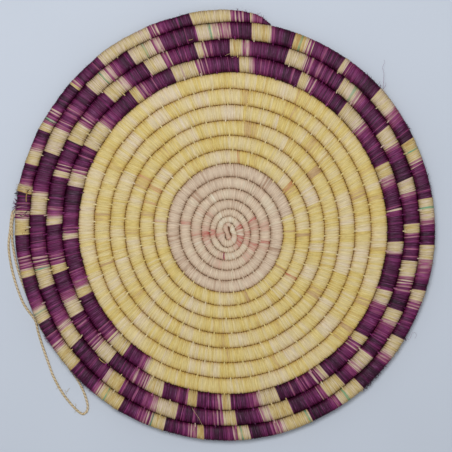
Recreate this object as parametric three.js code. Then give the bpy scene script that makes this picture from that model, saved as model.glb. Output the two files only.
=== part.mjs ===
// A coiled wall basket: one long grass bundle coiled nearly flat, wrapped all the way in dyed raffia,
// with a twine loop tied at the rim to hang it by.
// Millimetres. It lies on its back: +Z is up out of the face, +Y the top of the photograph, +X its right.
// A place along the coil is a turn: whole numbers lie at the top of the basket, and it grows clockwise.
import * as THREE from "three";

// The spiral of the grooves between the rows.
const FIRST_GROOVE_RADIUS = 7.1;
const ROW_PITCH_START = 2.7;
const ROW_PITCH_FAR = 12.53;
const PITCH_GROWTH_TURNS = 5;
const WHOLE_TURNS = 15;
const END_TURN = 15.0325;

// Worked by hand, the coil drifts off its first centre and is a little taller than it is wide.
const DRIFT_UP_START = -1.5;
const DRIFT_UP_END = 2.2;
const DRIFT_RIGHT_START = -0.3;
const DRIFT_RIGHT_END = 0.9;
const OVAL_START = 1.4;
const OVAL_END = 0.8;

// The cross-section of a wrapped row.
const ROW_GAP = 0.5;
const FIRST_ROW_WIDTH = 4.2;
const ROW_HEIGHT_MOST = 9.6;
const HEIGHT_TO_WIDTH = 0.95;
const WRAP_WALL = 1.2;
const THIN_ROW_WALL_SHARE = 0.27;
const CORE_CLEARANCE = 0.35;
const END_GAP = 0.3;

// The dish: flat at the back up to a radius, then rising to the rim.
const FLAT_BACK_RADIUS = 100;
const RIM_RADIUS = 150;
const RIM_RISE = 4.5;

// The coil's beginning and the slit beside it.
const START_TURN = -11 / 12;
const START_SLIT = 0.8;
const START_BEVEL = 0.6;

// The last turn thins out towards its bound end: [share of the turn, share of the full row width].
const LAST_TURN_WIDTHS = [
  [0, 1], [0.1, 0.96], [0.15, 0.87], [0.3, 0.84], [0.5, 0.88], [0.73, 0.86], [0.83, 0.72],
  [0.88, 0.76], [0.93, 0.73], [0.948, 0.78], [0.968, 0.7], [0.979, 0.65], [0.989, 0.52], [0.993, 0.4],
  [1, 0.09],
];
const BINDING_STEPS = 4;

// Where the dye changes, in turns, and how many pieces of wrapping each colour makes.
const PINK_END_TURN = 5 + 5 / 24;
const GOLD_END_TURN = 11 + 14 / 24;
const PINK_PIECES = 6;
const GOLD_PIECES = 7;
const BORDER_STEPS_PER_PIECE = 2;

// Facets: the small inner turns take every other plane.
const PLANES_PER_TURN = 24;
const COARSE_UNTIL_TURN = 2.25;

// A row whose flat underside the back rests on.
const REST_TURN = 9;

// The hanging loop, its knot under the rim and the raffia lashing round the last row.
const TIE_TURN = 14 + 275.35 / 360;
const TWINE_DIAMETER = 2;
const TWINE_SIDES = 8;
const TWINE_STEPS = 80;
const TWINE_FLOOR = 0.05;
const TWINE_SPREAD = 2.5;
const KNOT_WIDTH = 5.6;
const KNOT_DEPTH = 4;
const KNOT_INSET = 1.5;
const KNOT_FLOOR = 0.3;
const KNOT_BEVEL = 0.5;
const LASHING_THICKNESS = 0.4;
const LASHING_WIDTH = 2.2;
const SEAT_GAP = 0.3;

// The twine's way over the surface, from the knot's upper strand round and back to its lower one.
const TWINE_ROUTE = [
  [-157, 13.8], [-158.1, 9.5], [-158.6, 5], [-158.9, 0.1], [-159.3, -3.1], [-159.7, -7.4],
  [-159.8, -11.1], [-159.5, -14.9], [-158.9, -19.4], [-156.8, -30], [-153.6, -41], [-148.9, -52.7],
  [-145.2, -58.3], [-140.4, -65], [-138.5, -72.4], [-135.4, -82.6], [-130.1, -97.8], [-127.4, -105.1],
  [-120.3, -118.1], [-112, -128.4], [-108.5, -131.6], [-105.7, -133.1], [-102.9, -131.3],
  [-102.1, -127.6], [-104.6, -118.1], [-111, -105.8], [-118.7, -95.1], [-127.8, -82.5], [-133.5, -74.5],
  [-136.7, -69.3], [-139.2, -62], [-142, -56], [-145.7, -47.4], [-150.2, -36.2], [-153.9, -24.6],
  [-156.4, -12], [-157, -5.5], [-156.6, 0.1], [-156.2, 5.5], [-155.6, 10.4],
];

// The route's point that lies farthest from the knot.
const TWINE_FAR_END = 21;

const SECTION_SIDES_8 = [
  [1, -0.35], [1, 0.35], [0.45, 1], [-0.45, 1], [-1, 0.35], [-1, -0.35], [-0.45, -1], [0.45, -1],
];
const SECTION_SIDES_6 = [[1, 0], [0.55, 1], [-0.55, 1], [-1, 0], [-0.55, -1], [0.55, -1]];

const raffia = (color) => new THREE.MeshStandardMaterial({ color, roughness: 0.62, metalness: 0 });
const PINK_RAFFIA = raffia(0xd3b9a3);
const GOLD_RAFFIA = raffia(0xd9c67e);
const PLUM_RAFFIA = raffia(0x5b2450);
const NATURAL_RAFFIA = raffia(0xd8c48c);
const GRASS = new THREE.MeshStandardMaterial({ color: 0xb59a5e, roughness: 0.8, metalness: 0 });

const TWO_PI = 2 * Math.PI;
const mix = (a, b, share) => a + (b - a) * share;

function interpolate(table, x) {
  const next = table.findIndex(([at]) => at >= x);
  if (next <= 0) return next === 0 ? table[0][1] : table[table.length - 1][1];
  const [x0, y0] = table[next - 1];
  const [x1, y1] = table[next];
  return mix(y0, y1, (x - x0) / (x1 - x0));
}

// Polar radius of the groove at a turn.
function grooveRadius(turn) {
  const angle = TWO_PI * turn;
  const share = turn / WHOLE_TURNS;
  const slow = (ROW_PITCH_FAR - ROW_PITCH_START) * PITCH_GROWTH_TURNS;
  const mean = FIRST_GROOVE_RADIUS + ROW_PITCH_FAR * turn - slow * (1 - Math.exp(-turn / PITCH_GROWTH_TURNS));
  const up = mix(DRIFT_UP_START, DRIFT_UP_END, share);
  const right = mix(DRIFT_RIGHT_START, DRIFT_RIGHT_END, share);
  const oval = mix(OVAL_START, OVAL_END, share);
  return mean + up * Math.cos(angle) + right * Math.sin(angle) + oval * Math.cos(2 * angle);
}

// The wrapped row's inner and outer flank at a turn.
function rowSpan(turn) {
  const groove = grooveRadius(turn);
  const pitch = grooveRadius(turn + 1) - groove;
  const lastTurnShare = turn - (END_TURN - 1);
  const widthShare = lastTurnShare > 0 ? interpolate(LAST_TURN_WIDTHS, lastTurnShare) : 1;
  const outer = groove + pitch * widthShare - ROW_GAP / 2;
  const besideNothing = turn < START_TURN + 1 - 1 / PLANES_PER_TURN;
  const inner = groove + ROW_GAP / 2;
  return { inner: besideNothing ? Math.min(inner, outer - FIRST_ROW_WIDTH) : inner, outer };
}

const rowHeight = (width) => Math.min(ROW_HEIGHT_MOST, width * HEIGHT_TO_WIDTH);

function rimRise(radius) {
  const share = Math.max(0, radius - FLAT_BACK_RADIUS) / (RIM_RADIUS - FLAT_BACK_RADIUS);
  return RIM_RISE * share * share;
}

// The row's cross-section at a turn: where it is and how large its three layers are.
function rowSection(turn) {
  const { inner, outer } = rowSpan(turn);
  const width = outer - inner;
  const height = rowHeight(width);
  const middle = (inner + outer) / 2;
  const wall = Math.min(WRAP_WALL, width * THIN_ROW_WALL_SHARE);
  const angle = TWO_PI * turn;
  return {
    turn,
    middle,
    level: ROW_HEIGHT_MOST / 2 + rimRise(middle),
    halfWidth: width / 2,
    halfHeight: height / 2,
    wall,
    radial: new THREE.Vector3(Math.sin(angle), Math.cos(angle), 0),
    along: new THREE.Vector3(Math.cos(angle), -Math.sin(angle), 0),
  };
}

// One ring of points: the section's outline drawn in by an inset, and moved along the coil.
function ringAt(section, outline, inset, shift = 0) {
  const flat = outline.map(
    ([x, y]) => new THREE.Vector2(x * (section.halfWidth - inset), y * (section.halfHeight - inset)),
  );
  const space = flat.map(({ x, y }) =>
    new THREE.Vector3()
      .addScaledVector(section.radial, section.middle + x)
      .addScaledVector(section.along, shift)
      .setZ(section.level + y),
  );
  return { flat, space };
}

function counterclockwise(a, b, c) {
  return (b.x - a.x) * (c.y - a.y) - (b.y - a.y) * (c.x - a.x) > 0;
}

// A closed tube through rings of points, with an open bore where bore rings are given.
function tubeGeometry(skinRings, boreRings = []) {
  const points = [];
  const faces = [];
  const addRings = (rings) => {
    const start = points.length;
    rings.forEach(({ space }) => points.push(...space));
    return (ring, side) => start + ring * rings[0].space.length + (side % rings[0].space.length);
  };
  const addWall = (rings, at, facingOut) => {
    for (let ring = 0; ring + 1 < rings.length; ring++) {
      for (let side = 0; side < rings[0].space.length; side++) {
        const quad = [at(ring, side), at(ring, side + 1), at(ring + 1, side + 1), at(ring + 1, side)];
        if (!facingOut) quad.reverse();
        faces.push(quad[0], quad[1], quad[2], quad[0], quad[2], quad[3]);
      }
    }
  };
  const skinAt = addRings(skinRings);
  const boreAt = boreRings.length ? addRings(boreRings) : null;
  addWall(skinRings, skinAt, true);
  if (boreAt) addWall(boreRings, boreAt, false);

  const addCap = (ring, forwards) => {
    const contour = skinRings[ring].flat;
    const hole = boreAt ? boreRings[ring].flat : [];
    const flat = [...contour, ...hole];
    const indexOf = (i) => (i < contour.length ? skinAt(ring, i) : boreAt(ring, i - contour.length));
    for (const triangle of THREE.ShapeUtils.triangulateShape(contour, boreAt ? [hole] : [])) {
      const [a, b, c] = triangle;
      const turned = counterclockwise(flat[a], flat[b], flat[c]) === forwards;
      faces.push(...(turned ? [a, b, c] : [a, c, b]).map(indexOf));
    }
  };
  addCap(0, false);
  addCap(skinRings.length - 1, true);

  const geometry = new THREE.BufferGeometry().setFromPoints(points);
  geometry.setIndex(faces);
  return geometry;
}

// The planes at which the coil is cut into facets, shared by neighbouring rows so that they stay parallel.
function planesBetween(from, to) {
  const inside = [];
  for (let step = Math.ceil(from * PLANES_PER_TURN); step <= to * PLANES_PER_TURN; step++) {
    const turn = step / PLANES_PER_TURN;
    if (turn > COARSE_UNTIL_TURN || step % 2 === 0) inside.push(turn);
  }
  if (TIE_TURN > from && TIE_TURN < to) inside.push(TIE_TURN);
  const apart = inside.filter((turn) => turn - from > 1e-6 && to - turn > 1e-6);
  return [from, ...apart.sort((a, b) => a - b), to];
}

// Half the gap between two pieces laid end to end, in turns.
const halfEndGap = (turn) => END_GAP / 2 / (TWO_PI * rowSection(turn).middle);

function sectionsBetween(from, to) {
  return planesBetween(from + halfEndGap(from), to - halfEndGap(to)).map(rowSection);
}

// A stretch of raffia wrapping: a sleeve with the grass bundle's bore in it.
function wrappingGeometry(from, to) {
  const sections = sectionsBetween(from, to);
  return tubeGeometry(
    sections.map((section) => ringAt(section, SECTION_SIDES_8, 0)),
    sections.map((section) => ringAt(section, SECTION_SIDES_6, section.wall)),
  );
}

function coreRings() {
  return sectionsBetween(START_TURN, WHOLE_TURNS).map((section) => {
    const ring = ringAt(section, SECTION_SIDES_6, section.wall + CORE_CLEARANCE);
    return { ...ring, turn: section.turn };
  });
}

// The folded start of the bundle, which fills the middle up to the first turn and leaves a slit.
function firstBendGeometry() {
  const start = rowSection(START_TURN);
  const { inner, outer } = rowSpan(START_TURN);
  const faceCorner = (radius) =>
    new THREE.Vector3().addScaledVector(start.radial, radius).addScaledVector(start.along, -END_GAP);
  const outline = [faceCorner(outer)];
  for (let step = 0; step <= 10; step++) {
    const turn = -step / 12;
    const clearance = turn < -0.5 ? START_SLIT : ROW_GAP;
    const { radial } = rowSection(turn);
    outline.push(radial.clone().multiplyScalar(rowSpan(turn).inner - clearance));
  }
  outline.push(faceCorner(inner));
  const height = 2 * start.halfHeight;
  const corners = outline.map(({ x, y }) => new THREE.Vector2(x, y));
  const bend = new THREE.ExtrudeGeometry(new THREE.Shape(corners), {
    depth: height - 2 * START_BEVEL,
    bevelThickness: START_BEVEL,
    bevelSize: START_BEVEL,
    bevelOffset: -START_BEVEL,
    bevelSegments: 1,
  });
  return bend.translate(0, 0, start.level - height / 2 + START_BEVEL);
}

// The tight binding that closes over the end of the bundle and thins to a tip.
function endBindingGeometry() {
  const from = WHOLE_TURNS + halfEndGap(WHOLE_TURNS);
  const rings = [];
  for (let step = 0; step <= BINDING_STEPS; step++) {
    const section = rowSection(mix(from, END_TURN, step / BINDING_STEPS));
    rings.push(ringAt(section, SECTION_SIDES_8, 0));
  }
  return tubeGeometry(rings);
}

// A raffia band round the last row, which carries the knot.
function lashingGeometry(tie) {
  const ends = [-LASHING_WIDTH / 2, LASHING_WIDTH / 2];
  const skinInset = -(SEAT_GAP + LASHING_THICKNESS);
  return tubeGeometry(
    ends.map((shift) => ringAt(tie, SECTION_SIDES_8, skinInset, shift)),
    ends.map((shift) => ringAt(tie, SECTION_SIDES_8, -SEAT_GAP, shift)),
  );
}

// The knot under the rim: a block with eased edges, its outer face square to the two strands.
function knotSize(tie) {
  const top = tie.level - tie.halfHeight - SEAT_GAP - LASHING_THICKNESS - SEAT_GAP;
  const face = tie.middle + tie.halfWidth - KNOT_INSET;
  return { top, bottom: KNOT_FLOOR, face, height: top - KNOT_FLOOR };
}

function knotGeometry(tie) {
  const { bottom, face, height } = knotSize(tie);
  const halfWidth = KNOT_WIDTH / 2;
  const shape = new THREE.Shape([
    new THREE.Vector2(-halfWidth, 0),
    new THREE.Vector2(halfWidth, 0),
    new THREE.Vector2(halfWidth, height),
    new THREE.Vector2(-halfWidth, height),
  ]);
  const block = new THREE.ExtrudeGeometry(shape, {
    depth: KNOT_DEPTH - 2 * KNOT_BEVEL,
    bevelThickness: KNOT_BEVEL,
    bevelSize: KNOT_BEVEL,
    bevelOffset: -KNOT_BEVEL,
    bevelSegments: 1,
  });
  const up = new THREE.Vector3(0, 0, 1);
  const sideways = new THREE.Vector3().crossVectors(up, tie.radial);
  block.translate(0, 0, KNOT_BEVEL - KNOT_DEPTH);
  block.applyMatrix4(new THREE.Matrix4().makeBasis(sideways, up, tie.radial));
  return block.translate(tie.radial.x * face, tie.radial.y * face, bottom);
}

// The twine's centre line, which leaves and meets the knot square to its face.
function twineCurve(tie) {
  const { face, bottom, height } = knotSize(tie);
  const knotLevel = bottom + height / 2;
  const rest = TWINE_DIAMETER / 2 + TWINE_FLOOR;
  const atKnot = (side, out) =>
    new THREE.Vector3()
      .addScaledVector(tie.radial, face + SEAT_GAP + out)
      .addScaledVector(tie.along, (side * TWINE_SPREAD) / 2)
      .setZ(knotLevel);
  const outwards = [0, TWINE_DIAMETER / 2, TWINE_DIAMETER];
  const points = [
    ...outwards.map((out) => atKnot(1, out)),
    ...TWINE_ROUTE.map(([x, y]) => new THREE.Vector3(x, y, rest)),
    ...outwards.reverse().map((out) => atKnot(-1, out)),
  ];
  return new THREE.CatmullRomCurve3(points, false, "centripetal");
}

function twineGeometry(curve) {
  const corner = (side) => {
    const angle = (TWO_PI * (side + 0.5)) / TWINE_SIDES;
    return new THREE.Vector2(Math.cos(angle), Math.sin(angle)).multiplyScalar(TWINE_DIAMETER / 2);
  };
  const shape = new THREE.Shape(Array.from({ length: TWINE_SIDES }, (_, side) => corner(side)));
  return new THREE.ExtrudeGeometry(shape, { extrudePath: curve, steps: TWINE_STEPS, bevelEnabled: false });
}

// The least distance from a turn of a tube to its next turn out, measured on the tube's points.
function leastSelfGap(rings) {
  let least = Infinity;
  for (const near of rings) {
    for (const far of rings) {
      const between = far.turn - near.turn;
      if (between < 0.9 || between > 1.1) continue;
      for (const a of near.space) for (const b of far.space) least = Math.min(least, a.distanceTo(b));
    }
  }
  return least;
}

const basket = new THREE.Group();

function addPiece(name, geometry, material) {
  const mesh = new THREE.Mesh(geometry, material);
  mesh.name = name;
  basket.add(mesh);
  return mesh;
}

// Pieces of one colour between two turns, cut on the shared planes.
function addWrapping(name, from, to, pieces, digits, material) {
  const steps = Math.round((to - from) * PLANES_PER_TURN);
  const cut = (piece) => from + Math.round((steps * piece) / pieces) / PLANES_PER_TURN;
  for (let piece = 0; piece < pieces; piece++) {
    const number = String(piece + 1).padStart(digits, "0");
    addPiece(`${name}_${number}`, wrappingGeometry(cut(piece), cut(piece + 1)), material);
  }
}

function addPinkWrapping() {
  for (let piece = 1; piece <= PINK_PIECES; piece++) {
    const from = START_TURN + piece - 1;
    const to = piece < PINK_PIECES ? from + 1 : PINK_END_TURN;
    addPiece(`pink_wrap_${piece}`, wrappingGeometry(from, to), PINK_RAFFIA);
  }
}

const core = coreRings();
const tie = rowSection(TIE_TURN);
const twine = twineCurve(tie);
const borderSteps = Math.round((WHOLE_TURNS - GOLD_END_TURN) * PLANES_PER_TURN);

addPiece("foundation_coil", tubeGeometry(core), GRASS);
addPiece("first_bend", firstBendGeometry(), PINK_RAFFIA);
addPinkWrapping();
addWrapping("gold_wrap", PINK_END_TURN, GOLD_END_TURN, GOLD_PIECES, 1, GOLD_RAFFIA);
addWrapping("plum_wrap", GOLD_END_TURN, WHOLE_TURNS, borderSteps / BORDER_STEPS_PER_PIECE, 2, PLUM_RAFFIA);
addPiece("end_binding", endBindingGeometry(), PLUM_RAFFIA);
addPiece("loop_lashing", lashingGeometry(tie), NATURAL_RAFFIA);

// The frame's origin is the middle of the basket's box, on the surface it lies on; the loop isn't counted.
const box = new THREE.Box3().setFromObject(basket);
const middle = box.getCenter(new THREE.Vector3());
basket.position.set(-middle.x, -middle.y, -box.min.z);

addPiece("loop_knot", knotGeometry(tie), NATURAL_RAFFIA);
addPiece("hanging_loop", twineGeometry(twine), NATURAL_RAFFIA);

const inFrame = (point) => point.clone().add(basket.position).toArray().map((v) => v.toFixed(2)).join(", ");
const restRow = rowSection(REST_TURN);
const restPoint = restRow.radial.clone().multiplyScalar(restRow.middle).setZ(0);
const coreMiddles = core.map(({ space }) => space[0].clone().lerp(space[3], 0.5));
const coreLength = coreMiddles.reduce((sum, at, i) => (i ? sum + at.distanceTo(coreMiddles[i - 1]) : 0), 0);
console.log("least gap between the core's turns:", leastSelfGap(core).toFixed(2), "mm");
console.log("bundle length:", coreLength.toFixed(0), "mm; twine length:", twine.getLength().toFixed(0), "mm");
console.log("spiral centre in the frame:", inFrame(new THREE.Vector3()));
console.log("rest point on the back:", inFrame(restPoint));
console.log("loop's far end:", inFrame(new THREE.Vector3(...TWINE_ROUTE[TWINE_FAR_END], TWINE_DIAMETER / 2)));

export default basket;
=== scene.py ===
"""A coiled wall basket: a long grass bundle coiled nearly flat and wrapped all the way in raffia, with a
pinkish centre, a golden field, a border of plum and natural blocks, and a twine loop to hang it by.

Lengths in the code are millimetres, measured from the middle of the spiral with +Y the top of the picture,
and become metres in the row frame when a mesh is made. A place along the coil is a turn: whole numbers lie
at the top, and it grows clockwise. Run it as a script: it builds every piece, the stage and the camera.
"""

import math

import bmesh
import bpy
import mathutils
import numpy as np
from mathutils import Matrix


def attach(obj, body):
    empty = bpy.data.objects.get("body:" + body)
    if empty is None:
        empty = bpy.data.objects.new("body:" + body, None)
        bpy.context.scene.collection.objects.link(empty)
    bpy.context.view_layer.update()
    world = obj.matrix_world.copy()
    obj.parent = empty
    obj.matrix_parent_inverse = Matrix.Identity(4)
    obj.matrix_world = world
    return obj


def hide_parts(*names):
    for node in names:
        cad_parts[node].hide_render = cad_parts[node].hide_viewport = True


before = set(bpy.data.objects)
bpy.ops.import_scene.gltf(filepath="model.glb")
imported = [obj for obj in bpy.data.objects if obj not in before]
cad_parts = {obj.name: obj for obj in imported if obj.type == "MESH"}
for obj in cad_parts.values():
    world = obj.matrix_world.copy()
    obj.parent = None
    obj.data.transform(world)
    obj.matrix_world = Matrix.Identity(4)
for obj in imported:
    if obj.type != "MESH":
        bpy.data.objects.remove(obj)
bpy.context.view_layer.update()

bl_info = {
    "name": "Coiled Wall Basket",
    "version": (1, 0, 0),
    "blender": (4, 5, 0),
    "location": "3D View > Sidebar > Wall Basket",
    "description": "Builds a raffia-wrapped coiled wall basket on its packed solids",
    "category": "Object",
}

MM = 0.001

# The camera, in metres: how far it stands, how much it sees across, and the place that it looks at.
CAMERA_DISTANCE = 1.3
SEEN_ACROSS = 0.3273
LOOKED_AT = (0.00099, -0.00047, 0.009)

# Where the spiral's middle lies in the row frame, and in the picture, with the picture's scale.
SPIRAL_MIDDLE = (2.37, -4.32)
SPIRAL_PIXEL = (227.4, 230.8)
MM_PER_PIXEL = 0.724

# The spiral of the grooves, as in the part's source.
FIRST_GROOVE_RADIUS = 7.1
ROW_PITCH_START = 2.7
ROW_PITCH_FAR = 12.53
PITCH_GROWTH_TURNS = 5
WHOLE_TURNS = 15
END_TURN = 15.0325
START_TURN = -11 / 12
DRIFT_UP = (-1.5, 2.2)
DRIFT_RIGHT = (-0.3, 0.9)
OVAL = (1.4, 0.8)
ROW_GAP = 0.5
# How wide the first turn is, by degrees from its start: it leans on the folded middle.
FIRST_ROW_WIDTHS = (
    (0, 3.5), (60, 4), (90, 4), (115, 4.3), (145, 4.9), (165, 5.5), (180, 6), (200, 6.6), (230, 5.7),
    (265, 4.5), (290, 4.2),
)
# Where the groove strays from the spiral near the middle: turn, how far out, over how much of a turn.
GROOVE_NUDGES = ((0.61, -1.1, 0.05), (1.26, 1.1, 0.14))
ROW_HEIGHT_MOST = 9.6
HEIGHT_TO_WIDTH = 0.95
PLANES_PER_TURN = 24
FLAT_BACK_RADIUS = 100
RIM_RADIUS = 150
RIM_RISE = 4.5
# How wide the last turn is: share of the turn, share of the pitch. It narrows to the tail.
LAST_TURN_WIDTHS = (
    (0, 1), (0.1, 0.96), (0.15, 0.87), (0.3, 0.84), (0.5, 0.88), (0.73, 0.86), (0.83, 0.72), (0.88, 0.76),
    (0.93, 0.73), (0.948, 0.78), (0.968, 0.7), (0.979, 0.65), (0.989, 0.52), (0.993, 0.4), (1, 0.09),
)

# Where the dye changes and how many lengths of wrapping each colour has.
PINK_END_TURN = 5 + 5 / 24
GOLD_END_TURN = 11 + 14 / 24
PINK_PIECES = 6
GOLD_PIECES = 7
BORDER_STEPS = 2

# The tie at the rim, the knot under it and the twine's way over the surface, as in the part's source.
TIE_TURN = 14 + 275.35 / 360
SEAT_GAP = 0.3
LASHING_THICKNESS = 0.4
KNOT_WIDTH = 5.6
KNOT_DEPTH = 4
KNOT_INSET = 1.5
KNOT_FLOOR = 0.3
TWINE_SPREAD = 2.5
TWINE_FLOOR = 0.05
TWINE_ROUTE = (
    (-157, 13.8), (-158.1, 9.5), (-158.6, 5), (-158.9, 0.1), (-159.3, -3.1), (-159.7, -7.4),
    (-159.8, -11.1), (-159.5, -14.9), (-158.9, -19.4), (-156.8, -30), (-153.6, -41), (-148.9, -52.7),
    (-145.2, -58.3), (-140.4, -65), (-138.5, -72.4), (-135.4, -82.6), (-130.1, -97.8), (-127.4, -105.1),
    (-120.3, -118.1), (-112, -128.4), (-108.5, -131.6), (-105.7, -133.1), (-102.9, -131.3),
    (-102.1, -127.6), (-104.6, -118.1), (-111, -105.8), (-118.7, -95.1), (-127.8, -82.5),
    (-133.5, -74.5), (-136.7, -69.3), (-139.2, -62), (-142, -56), (-145.7, -47.4), (-150.2, -36.2),
    (-153.9, -24.6), (-156.4, -12), (-157, -5.5), (-156.6, 0.1), (-156.2, 5.5), (-155.6, 10.4),
)
# Where the twine's two runs gather: the middle in y, over how far, and only this far to the left. There
# each run is moved sideways and lifted.
TWINE_GATHER = (6, 9, -150)
FIRST_RUN_MOVE = (0.35, 0)
SECOND_RUN_MOVE = (-0.95, 1.1)

# Where the golden field is paler, and where the border is less deeply dyed: the middle as a turn or as a
# share of every turn, and over how much of a turn.
PALE_GOLD = (10.76, 0.07)
FADED_BORDER = (0.762, 0.03)
# A green streak lies about this far from the middle, and half of it is this wide.
GREEN_RADIUS = 140
GREEN_HALF_WIDTH = 0.55

# The border's strands by row, in degrees clockwise from the top: where a strand starts, where its natural
# end stops, from where it is plum, how the dye fades (e even, s in stripes, m through mauve; a capital where
# the natural end is a deeper gold), and a green streak if it has one.
BORDER_STRANDS = {
    11: (
        (208, 210, 212.5, "e"), (220.8, 225.5, 229.5, "e"), (245.8, 249, 254, "m"),
        (267.3, 269.3, 272.5, "s"), (286.2, 290.5, 293, "e"), (301.3, 308.8, 314, "e"),
        (325, 327.5, 330.5, "s"), (341, 349, 353, "s"),
    ),
    12: (
        (4.2, 6.8, 10.5, "e"), (25.3, 28, 31, "s"), (43.2, 50.5, 56, "m"), (66.2, 71, 76, "m"),
        (82.5, 82.5, 83.5, "e"), (93.5, 96.5, 99.5, "e"), (110.8, 114.6, 119, "m"),
        (127.8, 130.5, 134, "s"), (145.2, 147, 151, "s"), (163.2, 168.3, 171, "e"),
        (179.5, 181.5, 184, "s"), (190.3, 193.5, 195, "E"), (202.3, 207.5, 213, "s"),
        (222.3, 228.5, 233, "s"), (241.2, 246.5, 250, "e"), (256.2, 259, 262.5, "s"),
        (272.3, 274.6, 276.8, "m"), (287.8, 289.8, 292.5, "s"), (300, 306, 310, "s"),
        (318.3, 323, 327, "e"), (333.8, 339, 343.5, "s"), (350.3, 352, 354.5, "s"),
    ),
    13: (
        (0.8, 4, 8, "e"), (18.8, 24.2, 29, "s"), (37.6, 43, 47.5, "m", 42.2), (57.2, 61, 64.5, "e"),
        (74, 77.3, 80, "e"), (87.8, 90.3, 92.5, "s"), (99.3, 104, 109, "s"), (114.8, 118.8, 124, "m"),
        (131.3, 135.8, 139, "e"), (142.8, 148.6, 151.5, "s"), (160.4, 166.5, 171, "e"),
        (177.7, 181.3, 184.5, "s"), (195.6, 202, 207, "m"), (214.6, 218.2, 222, "e"),
        (233.7, 239.5, 245, "m"), (252.9, 259, 264, "s", 258.7), (275, 280.3, 285, "e"),
        (293.8, 301, 306, "s"), (316.3, 321.5, 326, "e", 321), (330.8, 337, 341, "e", 335.3),
        (350.8, 356, 361, "e", 355),
    ),
    14: (
        (6.8, 11, 13.5, "e"), (18.9, 22.5, 26.5, "S", 21), (34.4, 35.4, 38.8, "s"), (47.4, 53, 57.5, "m"),
        (63.5, 69.3, 72.5, "s", 66.4), (80.5, 84.8, 88.5, "e", 83.4), (93.9, 98.3, 104, "m"),
        (107, 110.3, 114, "s"), (122, 126.3, 129.5, "e"), (139.2, 145.6, 148.5, "e", 144.3),
        (156, 163, 167, "e", 156.6), (173.7, 177.3, 179.5, "s", 176.1), (186.7, 188.6, 192.5, "S"),
        (198.3, 201.8, 206, "S", 202), (211.9, 218, 220.8, "E", 216.9), (228.5, 233.6, 238, "e"),
        (244, 247.4, 251, "m", 246.7), (257.3, 258.9, 263.5, "S"), (269.3, 273, 276, "S"),
        (280.8, 282.2, 284.5, "M"), (288.8, 291.6, 295, "e"), (298.5, 300.5, 306, "s", 302),
        (313.2, 314, 315.3, "s"), (323.3, 338, 342.5, "s"), (350, 360.3, 364.8, "S"),
        (366, 366.2, 367.5, "m"),
    ),
}

# Reddish stains in the centre: x, y, radius, strength.
RED_STAINS = (
    (-16.2, -1.8, 3.4, 1), (-14, -4.2, 2.4, 0.9), (-9.5, -1, 4.5, 0.6), (-5, 0.5, 3, 0.6),
    (-4.5, -3, 3, 0.55), (-19, -1, 7, 0.35), (-23, -2.4, 1.3, 1), (-30.3, 6.6, 1.1, 0.9),
    (-35.8, 8.8, 1.2, 0.8), (-29, -3.4, 1, 0.8), (-26.5, -3, 1, 0.9), (3, -4.8, 2.4, 1),
    (6.5, -9, 3.4, 0.8), (8.7, 3, 3.4, 0.85), (9.3, -5.8, 4.8, 1), (13.5, 5, 1.6, 0.9), (17.5, 7.6, 1.8, 1),
    (22, 9.6, 2, 1), (20, -11, 6, 0.55), (24.8, -8.4, 2.4, 1), (28, -7, 1.4, 0.6), (20.3, -14, 2.4, 0.9),
    (14.2, -19.3, 2, 0.9), (33.5, 22.8, 1, 0.9), (-2.9, -18.2, 0.8, 1), (-40, -6, 1, 0.5),
    (12, -1, 4, 0.85), (-13, 4, 2.4, 0.35), (26, 3, 4, 0.3), (-6, -21, 5, 0.3), (-15.7, 11.7, 5, 0.28),
    (19.8, 3, 5, 0.3), (-15, -9.5, 4, 0.35),
)

# Single rust wraps in the golden field: a place in the row, half their width along it, strength.
RUST_WRAPS = (
    (45.6, -33.2, 0.9, 1), (7.5, 53.5, 0.8, 0.7), (-52.5, 31, 1.2, 0.7), (41.5, 30.5, 1.3, 0.7),
    (-61, 39, 1, 0.7), (-60, 22, 0.9, 0.5), (-50, 8, 0.9, 0.4),
)

# Where the rim is frayed: degrees along the last row, how far either side, how many fibres, the longest and
# how much thicker than a loose fibre they are.
FRAYED_PLACES = (
    (190, 170, 150, 1.7, 1), (223, 6, 70, 1.9, 1.5), (239, 1.5, 18, 2.2, 1.7), (232, 1.5, 8, 3, 1),
    (196, 3.5, 16, 2.2, 1), (281.5, 1, 12, 3, 1.5), (280.3, 0.3, 10, 3.2, 1.9), (278, 0.4, 10, 3, 1.9),
    (276.7, 0.5, 16, 3.6, 1.9), (365, 3, 16, 2.4, 1.2), (369, 1, 8, 3, 1), (212, 1.2, 14, 1.8, 1.6),
    (121.5, 0.6, 7, 2.6, 2), (126, 1.5, 9, 2.2, 1.9), (132, 1.5, 14, 2.4, 2), (136, 3, 34, 2.4, 2),
    (139, 0.7, 9, 3, 2.1), (104, 10, 30, 1.6, 1.5), (46, 4, 14, 2, 1.5), (60, 1, 8, 2.4, 1.6),
    (80, 8, 16, 1.6, 1.4),
)

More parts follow.
